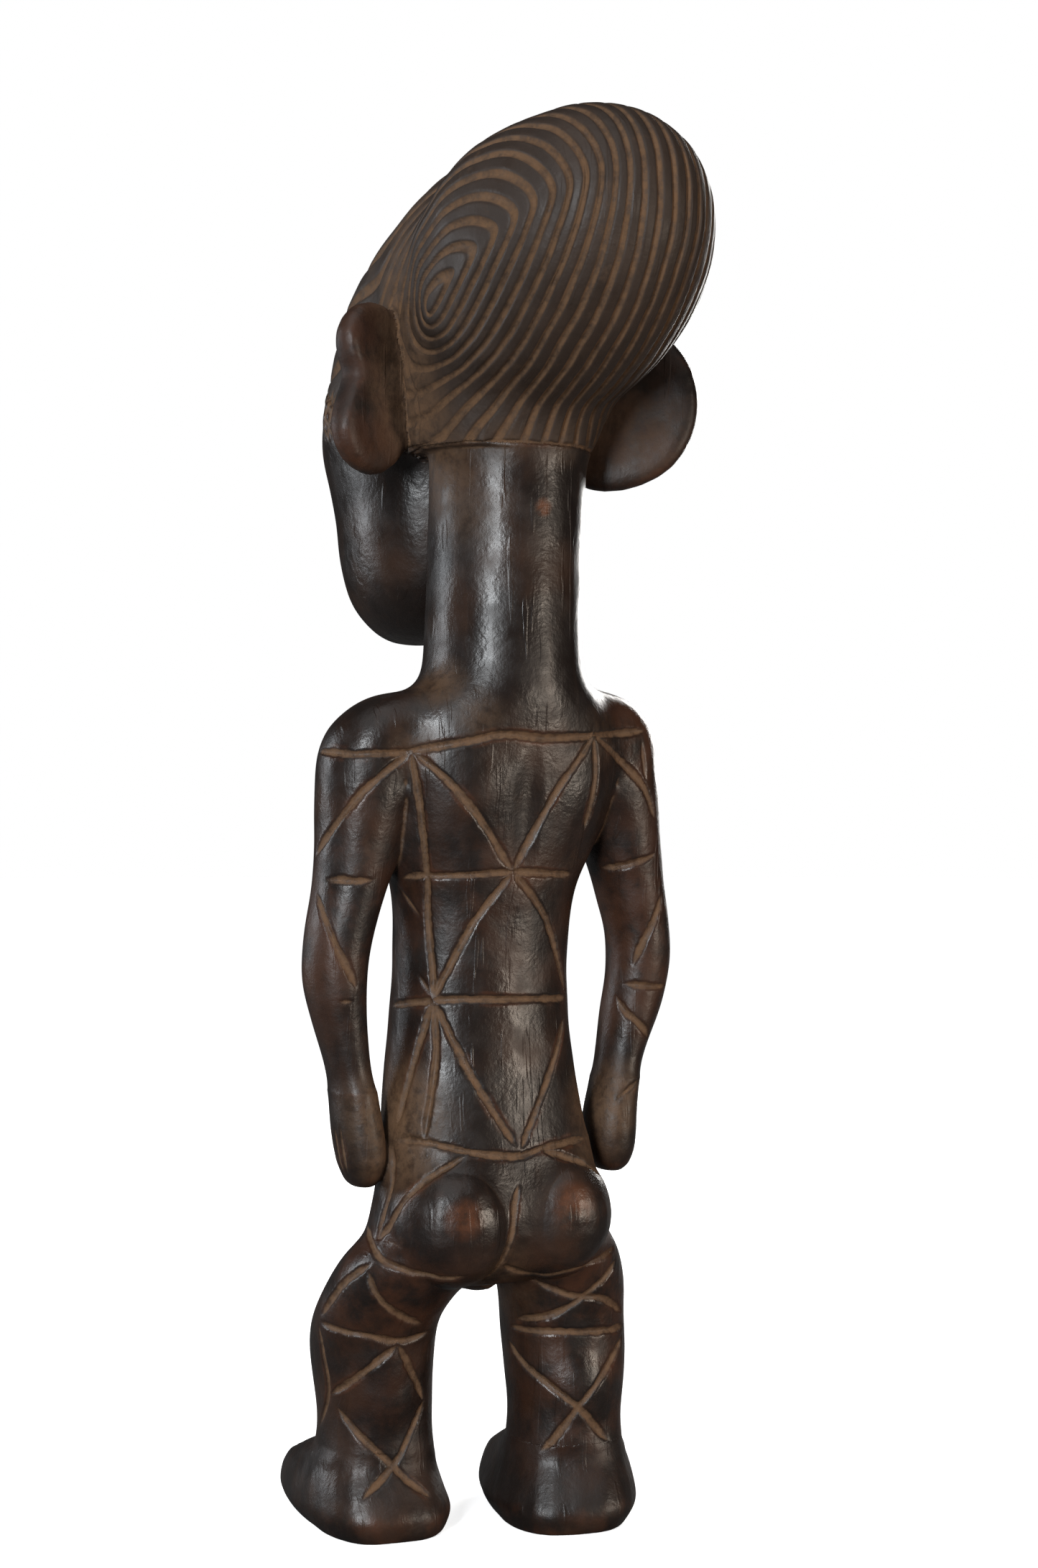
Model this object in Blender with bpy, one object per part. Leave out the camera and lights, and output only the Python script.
"""A standing figure carved from one block of dark wood: crested head, long neck, trunk, arms and short legs.

The block is modelled as the masses the carver roughs out. Two masses that meet part on a flat saw line
at a carved ring or crease, or one is scribed round the other, and a hairline gap is left between them.
Heights and radii are in millimetres. The figure faces -Y, its left hand is at +X, and its soles are at Z = 0.
"""

import math

import bmesh
import bpy
from mathutils import Matrix, Vector

MM = 0.001
GAP = 0.3  # hairline between two masses

# Driving heights of the saw lines between masses
BELT_Z = 124.0  # waist ring: torso above, hips below
NECK_FOOT_Z = 268.0
CROWN_SEAT_Z = 338.0  # underside of the hair, where the neck ends
ELBOW_Z = 171.0
WRIST_Z = 141.0
KNEE_Z = 66.0
ANKLE_Z = 27.0

HAIRLINE_RISE = 0.62  # the hairline climbs this much for each unit forward of the neck
HAIRLINE_Y = -14.0  # where the hairline leaves the flat underside

# Each mass is a stack of level ovals: (height, centre x, centre y, half width, half depth, squareness)
TRUNK = (
    (80, 0, -1, 21, 12, 2.2),
    (84, -0.5, -0.5, 29, 18, 2.2),
    (90, -1, 0, 36.5, 23, 2.2),
    (97, -1, 0.5, 39.5, 25.5, 2.3),
    (111, -1, 0, 36, 24.5, 2.3),
    (127, 0, -0.5, 33.5, 23, 2.3),
    (141, 0.8, -1.5, 31.7, 23, 2.3),
    (155, 1, -2, 29.6, 22.5, 2.3),
    (172, 1, -1.5, 28.4, 21.5, 2.3),
    (188, 0.9, -0.5, 28.4, 21, 2.3),
    (204, 0.5, 0.5, 30, 22, 2.3),
    (214, -0.3, 1.5, 34.5, 23, 2.4),
    (228, -1, 3, 37.5, 24, 2.5),
    (240, -1.5, 4.5, 40, 24.5, 2.5),
    (250, -1.5, 5.5, 39.5, 25, 2.4),
    (257, -1.5, 7, 36.5, 25, 2.3),
    (263, -1.5, 8.5, 31, 24.7, 2.1),
    (268, -1.9, 9, 25.2, 24.5, 2),
)
NECK = (
    (268, -1.9, 9, 25.2, 24.5, 2),
    (276, -1.6, 9.2, 24.8, 24.3, 2),
    (290, -1.9, 9.5, 24.4, 24.2, 2),
    (309, -2.4, 9.5, 24.3, 24.2, 2),
    (338, -3.6, 9.5, 24.5, 24.5, 2),
)
ARM_LEFT = (
    (263, 30, 6, 8, 10, 2),
    (259.5, 34, 5, 13, 13.5, 2),
    (253, 38, 4, 16.5, 15.5, 2),
    (245, 41, 3, 16.6, 16, 2),
    (234, 42.8, 2, 15.2, 16, 2),
    (221, 43.8, 1, 13.5, 15.3, 2),
    (206, 45.8, 0, 11.9, 14, 2),
    (189, 49.8, -0.5, 10.8, 12.5, 2),
    (178, 51.2, -1, 10.5, 12, 2),
    (167, 50.1, -1.5, 9.4, 11.5, 2),
    (155, 47.5, -2, 7.6, 10.5, 2),
    (141, 44.6, -2, 6.8, 10, 2),
    (129, 42.9, -2, 7.2, 10, 2.2),
    (119, 41.6, -2, 6.8, 9.5, 2.2),
    (113.5, 41, -2, 5.2, 7, 2),
    (111.5, 41, -2, 2.8, 4.5, 2),
)
ARM_RIGHT = (
    (265, -29, 6, 9, 10, 2),
    (262, -34, 5, 14, 13.5, 2),
    (255.5, -39, 4, 17.4, 15.5, 2),
    (246, -42, 3, 16.6, 16, 2),
    (234, -44.9, 2, 14.9, 16, 2),
    (221, -47.7, 1, 13.5, 15.3, 2),
    (205, -51.7, 0, 11.6, 14, 2),
    (187, -56, -0.5, 10.5, 12.5, 2),
    (177, -56.7, -1, 10.5, 12, 2),
    (164, -54.2, -1.5, 10.2, 11.5, 2),
    (152, -51.1, -2, 8.4, 10.5, 2),
    (141, -48.5, -2, 7.2, 10, 2),
    (128, -46.4, -2, 7.7, 10, 2.2),
    (119, -46.3, -2, 7.5, 9.5, 2.2),
    (113, -46.3, -2, 5.6, 7.5, 2),
    (111, -46.3, -2, 3, 5, 2),
)
LEG_LEFT = (
    (97, 19, 2, 17, 19, 2.1),
    (90, 23.5, -1.5, 21.5, 21, 2.2),
    (79, 27.5, -8, 21.2, 20.5, 2.2),
    (69, 30, -16, 20, 19.8, 2.3),
    (60, 29.5, -20.5, 19.4, 19.2, 2.4),
    (51, 28.7, -21.8, 18.8, 19.8, 2.3),
    (42, 27.6, -22.8, 18, 18.2, 2.4),
    (33, 26.8, -23.6, 17.5, 17.4, 2.5),
    (27, 26.8, -23.6, 17.7, 17.8, 2.5),
)
LEG_RIGHT = (
    (97, -20, 2, 17, 19, 2.1),
    (90, -24, 0, 20.5, 21, 2.2),
    (79, -28.7, -3, 20.2, 20.5, 2.2),
    (69, -30.7, -5.5, 19.7, 19.8, 2.3),
    (60, -31.2, -6.5, 19.4, 19.2, 2.4),
    (51, -31.7, -5.5, 19.1, 19.6, 2.3),
    (42, -31.6, -5.3, 18.4, 18.2, 2.4),
    (33, -31.3, -5, 17.2, 17.4, 2.5),
    (27, -31.3, -5, 17.3, 17.8, 2.5),
)
# A foot is centred on its ankle: (height, offset out, offset back, half width, half depth, squareness)
FOOT = (
    (27, 0, 0, 17.5, 17.8, 2.5),
    (23.5, 0.3, -5, 20, 23.3, 2.6),
    (18.5, 0.6, -11, 22, 31.5, 2.8),
    (12, 0.3, -12, 21.8, 34, 2.9),
    (6, -0.4, -10.6, 20.6, 33, 3),
    (2, -0.8, -9.6, 19.6, 32.2, 3),
    (0, -1.2, -9, 18.4, 31, 3),
)
FOOT_TURN = {"left": 6.0, "right": 16.0}  # both feet point this much to the figure's right
FACE = (
    (281, -2.5, -51.7, 8, 11, 2),
    (284, -2.5, -50.7, 14, 17, 2),
    (290, -2.5, -48.7, 20.5, 24, 2.1),
    (300, -2.5, -47.2, 25.5, 29, 2.2),
    (314, -2.5, -45.7, 28.3, 31.5, 2.2),
    (328, -2.5, -45.2, 30, 33, 2.2),
    (342, -2.5, -46.5, 33, 36, 2.2),
    (354, -2.5, -45, 33.5, 36.5, 2.2),
    (366, -2.5, -38.5, 34, 35, 2.2),
    (378, -2.5, -32.5, 34.5, 36.5, 2.2),
    (390, -2.5, -23.5, 34, 36, 2.2),
    (401, -2.5, -11.5, 32, 35, 2.2),
    (411, -2.5, 0, 28, 31, 2.2),
    (419, -2.5, 8, 20, 22, 2.2),
)
# The nape under the hair, round the top of the neck
NAPE = (
    (330, -2, 6, 26, 26, 2),
    (338, -2, 7, 29, 28.5, 2),
    (350, -3, 9, 32, 32, 2),
    (362, -3.5, 13, 34, 36, 2),
    (374, -4, 19, 35, 37, 2),
)
# The crown is an egg between the face and the hair at the back
CROWN = {"centre": (-3.0, 5.0, 385.0), "radii": (37.0, 50.0, 43.5)}
# The swept-back hair is an egg on a slanting axis
HAIR_CENTRE = (-5.5, 37.0, 388.3)
HAIR_TILT = 30.0
HAIR_FRONT, HAIR_BACK = 61.0, 63.0  # from its centre to each end
HAIR_WIDE, HAIR_DEEP = 42.5, 38.5
HAIR_SWELL = 0.07  # it is this much fuller at the back than an even egg

BUTTOCK = {"out": 17.5, "back": 9.0, "height": 101.0, "size": (19.5, 22.0, 21.0)}
GROIN_BOSS = {"y": -6.0, "z": 80.0, "size": (7.0, 10.0, 6.0)}

# Each ear is a flat flange: corners of its outline as (distance from its root, height).
# The left one is pinched into two lobes; the right one is a fuller disc.
EAR_LEFT = (
    (4, 376),
    (14, 381.5),
    (26, 380),
    (33.5, 372),
    (32.5, 364),
    (29.5, 358.5),
    (34, 350),
    (36.5, 341),
    (31, 332.5),
    (20, 329),
    (8, 333),
    (-2, 345),
    (-2, 365),
)
EAR_RIGHT = (
    (4, 377),
    (14, 383),
    (26, 381.5),
    (35, 375),
    (40.5, 366),
    (42, 356),
    (40, 345.5),
    (34, 336.5),
    (24, 330.5),
    (12, 328.5),
    (3, 332),
    (-2, 345),
    (-2, 365),
)
EAR_MIDDLE = (17, 356)
EAR_SECTION = ((-0.5, 0.86), (-0.3, 0.97), (0.1, 1.0), (0.4, 0.95), (0.5, 0.84))  # (share of thickness, size)
EAR_ROOT = (29.0, -3.7)  # its root, out from the middle of the head, and back
HEAD_MIDDLE_X = -2.5
EAR_SWEEP = 32.0
EAR_THICK = 8.0

WOOD = {"colour": (0.035, 0.024, 0.020, 1.0), "roughness": 0.38}
HAIR_WOOD = {"colour": (0.075, 0.050, 0.036, 1.0), "roughness": 0.55}


def clear_scene():
    for thing in list(bpy.data.objects):
        bpy.data.objects.remove(thing)


def make_material(name, colour, roughness):
    material = bpy.data.materials.new(name)
    material.use_nodes = True
    shader = material.node_tree.nodes["Principled BSDF"]
    shader.inputs["Base Color"].default_value = colour
    shader.inputs["Roughness"].default_value = roughness
    shader.inputs["Metallic"].default_value = 0.0
    return material


def slope(keys, i, column):
    """Rate of change of one column at a key, from its neighbours."""
    low, high = keys[max(i - 1, 0)], keys[min(i + 1, len(keys) - 1)]
    return (high[column] - low[column]) / (high[0] - low[0])


def oval_at(keys, height):
    """The oval of a stack at any height, on smooth curves through the keys."""
    keys = sorted(keys)
    height = min(max(height, keys[0][0]), keys[-1][0])
    i = max(j for j in range(len(keys) - 1) if keys[j][0] <= height)
    a, b = keys[i], keys[i + 1]
    span = b[0] - a[0]
    t = (height - a[0]) / span
    oval = [height]
    for column in range(1, 6):
        start, end = slope(keys, i, column) * span, slope(keys, i + 1, column) * span
        oval.append(
            a[column] * (2 * t**3 - 3 * t**2 + 1)
            + start * (t**3 - 2 * t**2 + t)
            + b[column] * (3 * t**2 - 2 * t**3)
            + end * (t**3 - t**2)
        )
    return oval


def oval_ring(oval, sides):
    """Points round a level superellipse."""
    height, x, y, wide, deep, square = oval
    ring = []
    for k in range(sides):
        angle = 2 * math.pi * k / sides
        c, s = math.cos(angle), math.sin(angle)
        ring.append(
            Vector((
                x + wide * math.copysign(abs(c) ** (2 / square), c),
                y + deep * math.copysign(abs(s) ** (2 / square), s),
                height,
            ))
        )
    return ring


def bridge(name, rings, material):
    """A closed solid through rings of points, in millimetres, with flat ends."""
    mesh = bmesh.new()
    loops = [[mesh.verts.new(point * MM) for point in ring] for ring in rings]
    for low, high in zip(loops, loops[1:]):
        for k in range(len(low)):
            n = (k + 1) % len(low)
            mesh.faces.new((low[k], low[n], high[n], high[k]))
    mesh.faces.new(reversed(loops[0]))
    mesh.faces.new(loops[-1])
    bmesh.ops.recalc_face_normals(mesh, faces=mesh.faces)
    data = bpy.data.meshes.new(name)
    mesh.to_mesh(data)
    mesh.free()
    thing = bpy.data.objects.new(name, data)
    thing.data.materials.append(material)
    bpy.context.scene.collection.objects.link(thing)
    return thing


def stack(name, keys, bottom, top, material, sides=24, step=6.0):
    """The part of a stack of ovals between two heights."""
    inner = [k[0] for k in sorted(keys) if bottom + 1 < k[0] < top - 1]
    marks = [bottom, *inner, top]
    heights = []
    for low, high in zip(marks, marks[1:]):
        cuts = max(1, round((high - low) / step))
        heights += [low + (high - low) * k / cuts for k in range(cuts)]
    rings = [oval_ring(oval_at(keys, height), sides) for height in [*heights, top]]
    return bridge(name, rings, material)


def egg(name, centre, radii, material, sides=20, rings=12):
    """An egg with an upright axis."""
    layers = []
    for k in range(rings + 1):
        angle = math.pi * (0.04 + 0.92 * k / rings)
        height = centre[2] - radii[2] * math.cos(angle)
        size = math.sin(angle)
        layers.append(
            oval_ring((height, centre[0], centre[1], radii[0] * size, radii[1] * size, 2), sides)
        )
    return bridge(name, layers, material)


def hair_egg(name, material, sides=30, rings=20):
    """The slanting egg of the hair, fuller towards its back end."""
    tilt = math.radians(HAIR_TILT)
    along = Vector((0, math.cos(tilt), math.sin(tilt)))
    across = Vector((0, -math.sin(tilt), math.cos(tilt)))
    layers = []
    for k in range(rings + 1):
        angle = math.pi * (0.03 + 0.94 * k / rings)
        place = -math.cos(angle)
        reach = place * (HAIR_FRONT if place < 0 else HAIR_BACK)
        size = math.sin(angle) * (1 + HAIR_SWELL * place)
        ring = []
        for j in range(sides):
            turn = 2 * math.pi * j / sides
            ring.append(
                Vector(HAIR_CENTRE)
                + along * reach
                + Vector((1, 0, 0)) * HAIR_WIDE * size * math.cos(turn)
                + across * HAIR_DEEP * size * math.sin(turn)
            )
        layers.append(ring)
    return bridge(name, layers, material)


def closed_curve(corners, steps):
    """Points on a smooth closed curve through the given corners."""
    count = len(corners)
    points = []
    for i in range(count):
        before, a, b, after = (Vector(corners[(i + k) % count]) for k in (-1, 0, 1, 2))
        for j in range(steps):
            t = j / steps
            bend = (2 * before - 5 * a + 4 * b - after) * t**2 + (3 * a - before - 3 * b + after) * t**3
            points.append((2 * a + (b - before) * t + bend) / 2)
    return points


def ear_flange(name, side, corners, material):
    """A flat flange swept back from the head, with a rounded rim."""
    sweep = math.radians(EAR_SWEEP)
    out = Vector((side * math.cos(sweep), math.sin(sweep), 0))
    through = Vector((-side * math.sin(sweep), math.cos(sweep), 0))
    root = Vector((HEAD_MIDDLE_X + side * EAR_ROOT[0], EAR_ROOT[1], 0))
    outline = closed_curve(corners, 2)
    middle = Vector(EAR_MIDDLE)
    layers = []
    for depth, size in EAR_SECTION:
        ring = []
        for corner in outline:
            place = middle + (corner - middle) * size
            ring.append(root + out * place.x + Vector((0, 0, place.y)) + through * depth * EAR_THICK)
        layers.append(ring)
    return bridge(name, layers, material)


def settle(thing):
    """Replaces an object's mesh by what its modifiers make of it."""
    graph = bpy.context.evaluated_depsgraph_get()
    made = bpy.data.meshes.new_from_object(thing.evaluated_get(graph))
    thing.modifiers.clear()
    thing.data = made
    return thing


def combine(thing, other, operation):
    modifier = thing.modifiers.new(operation.title(), "BOOLEAN")
    modifier.operation = operation
    modifier.solver = "EXACT"
    modifier.object = other
    return settle(thing)


def join(thing, others):
    """Boolean union with other objects, which are used up."""
    for other in others:
        combine(thing, other, "UNION")
        bpy.data.objects.remove(other)
    return thing


def scribe(thing, neighbour):
    """Cuts a mass back to a hairline from its neighbour."""
    cutter = bpy.data.objects.new("cutter", neighbour.data.copy())
    bpy.context.scene.collection.objects.link(cutter)
    swell = cutter.modifiers.new("Swell", "DISPLACE")
    swell.strength = GAP * MM
    swell.mid_level = 0.0
    settle(cutter)
    combine(thing, cutter, "DIFFERENCE")
    bpy.data.objects.remove(cutter)
    return thing


def saw(thing, point, normal):
    """Keeps the side of a flat cut that the normal points away from, and closes the cut."""
    mesh = bmesh.new()
    mesh.from_mesh(thing.data)
    found = bmesh.ops.bisect_plane(
        mesh,
        geom=mesh.verts[:] + mesh.edges[:] + mesh.faces[:],
        dist=1e-6,
        plane_co=Vector(point) * MM,
        plane_no=Vector(normal).normalized(),
        clear_outer=True,
    )
    rim = [e for e in found["geom_cut"] if isinstance(e, bmesh.types.BMEdge)]
    bmesh.ops.holes_fill(mesh, edges=rim)
    bmesh.ops.recalc_face_normals(mesh, faces=mesh.faces)
    mesh.to_mesh(thing.data)
    mesh.free()
    return thing


def turn(thing, ankle, degrees):
    """Turns a mass about the upright axis of its ankle."""
    centre = Matrix.Translation(Vector((ankle[1], ankle[2], 0)) * MM)
    thing.data.transform(centre @ Matrix.Rotation(math.radians(-degrees), 4, "Z") @ centre.inverted())


def make_trunk(wood):
    torso = stack("torso", TRUNK, BELT_Z + GAP / 2, NECK_FOOT_Z - GAP / 2, wood, sides=32)
    hips = stack("hips", TRUNK, TRUNK[0][0], BELT_Z - GAP / 2, wood, sides=32)
    bulges = [
        egg("bulge", (side * BUTTOCK["out"], BUTTOCK["back"], BUTTOCK["height"]), BUTTOCK["size"], wood)
        for side in (-1, 1)
    ]
    boss = egg("boss", (0, GROIN_BOSS["y"], GROIN_BOSS["z"]), GROIN_BOSS["size"], wood, sides=12, rings=6)
    return torso, join(hips, [*bulges, boss])


def make_arm(side, keys, trunk, wood):
    torso, hips = trunk
    shoulder, tip = keys[0][0], keys[-1][0]
    upper = stack(f"upper_arm_{side}", keys, ELBOW_Z + GAP / 2, shoulder, wood, sides=18)
    scribe(upper, torso)
    stack(f"forearm_{side}", keys, WRIST_Z + GAP / 2, ELBOW_Z - GAP / 2, wood, sides=18)
    hand = stack(f"hand_{side}", keys, tip, WRIST_Z - GAP / 2, wood, sides=18, step=4.0)
    scribe(hand, torso)
    scribe(hand, hips)


def make_leg(side, keys, hips, wood):
    thigh = stack(f"thigh_{side}", keys, KNEE_Z + GAP / 2, keys[0][0], wood, sides=24)
    scribe(thigh, hips)
    stack(f"calf_{side}", keys, ANKLE_Z + GAP / 2, KNEE_Z - GAP / 2, wood, sides=24)
    ankle = keys[-1]
    out = math.copysign(1, ankle[1])
    foot = [
        (height, ankle[1] + out * x, ankle[2] + y, wide, deep, square)
        for height, x, y, wide, deep, square in FOOT
    ]
    turn(stack(f"foot_{side}", foot, 0, ANKLE_Z - GAP / 2, wood, sides=24, step=4.0), ankle, FOOT_TURN[side])


def make_head(wood, hair_wood):
    neck = stack("neck", NECK, NECK_FOOT_Z + GAP / 2, CROWN_SEAT_Z - GAP / 2, wood, sides=32, step=8.0)
    hairline = Vector((0, HAIRLINE_RISE, 1)).normalized()
    corner = Vector((0, HAIRLINE_Y, CROWN_SEAT_Z))

    hair = stack("hair", FACE, 325, FACE[-1][0], hair_wood, sides=28)
    nape = stack("nape", NAPE, NAPE[0][0], NAPE[-1][0], hair_wood, sides=28)
    crown = egg("crown", CROWN["centre"], CROWN["radii"], hair_wood, sides=28, rings=18)
    join(hair, [nape, crown, hair_egg("swept_back", hair_wood)])
    saw(hair, corner + Vector((0, 0, GAP / 2)), (0, 0, -1))
    saw(hair, corner + hairline * GAP / 2, -hairline)

    face = stack("face", FACE, FACE[0][0], 405, wood, sides=28)
    saw(face, corner - hairline * GAP / 2, hairline)
    scribe(face, neck)

    for side, name, corners in ((1, "left", EAR_LEFT), (-1, "right", EAR_RIGHT)):
        ear = ear_flange(f"ear_{name}", side, corners, wood)
        scribe(ear, hair)
        scribe(ear, face)


def stand_on_origin(things):
    """Hangs every mass on an empty that puts the middle of their footprint at the origin."""
    bpy.context.view_layer.update()
    corners = [thing.matrix_world @ Vector(c) for thing in things for c in thing.bound_box]
    low = [min(c[i] for c in corners) for i in range(3)]
    high = [max(c[i] for c in corners) for i in range(3)]
    figure = bpy.data.objects.new("figure", None)
    bpy.context.scene.collection.objects.link(figure)
    figure.location = (-(low[0] + high[0]) / 2, -(low[1] + high[1]) / 2, -low[2])
    for thing in things:
        thing.parent = figure


def main():
    clear_scene()
    wood = make_material("dark_wood", **WOOD)
    hair_wood = make_material("hair_wood", **HAIR_WOOD)
    torso, hips = make_trunk(wood)
    make_head(wood, hair_wood)
    for side, arm, leg in (("left", ARM_LEFT, LEG_LEFT), ("right", ARM_RIGHT, LEG_RIGHT)):
        make_arm(side, arm, (torso, hips), wood)
        make_leg(side, leg, hips, wood)
    things = list(bpy.context.scene.objects)
    for thing in things:
        thing.data.shade_smooth()
        thing.data.set_sharp_from_angle(angle=math.radians(40))
    stand_on_origin(things)


main()
